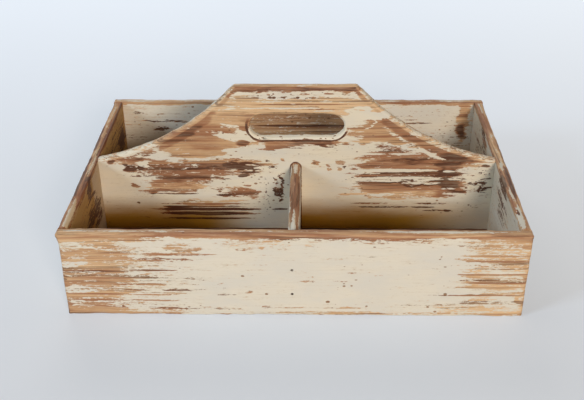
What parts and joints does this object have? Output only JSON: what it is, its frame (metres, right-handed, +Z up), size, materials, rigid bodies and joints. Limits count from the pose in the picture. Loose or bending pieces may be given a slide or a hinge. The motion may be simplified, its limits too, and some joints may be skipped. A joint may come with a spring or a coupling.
{
  "type": "utensil caddy",
  "caption": "Open wooden caddy with a tall middle board holding a hand slot and a short divider in the front half.",
  "frame": {"origin": "on the table under the centre of the box", "axes": "+X along the length, +Y from the front wall to the back wall, +Z up"},
  "size_m": [0.4, 0.268, 0.161],
  "materials": {
    "painted_wood": "worn matt milk paint over brown-stained softwood",
    "panel_wood": "dark-brown stained plywood, its paint worn away",
    "brad_steel": "dull, slightly rusted"
  },
  "bodies": {
    "root": {"front_wall": "painted_wood", "back_wall": "painted_wood", "left_wall": "painted_wood", "right_wall": "painted_wood", "bottom_panel": "panel_wood", "handle_board": "painted_wood", "front_divider": "painted_wood", "front_left_corner_brads": "brad_steel", "front_right_corner_brads": "brad_steel", "back_left_corner_brads": "brad_steel", "back_right_corner_brads": "brad_steel", "handle_left_brads": "brad_steel", "handle_right_brads": "brad_steel", "handle_base_brads": "brad_steel", "divider_front_brads": "brad_steel", "divider_rear_brads": "brad_steel"}
  },
  "joints": []
}
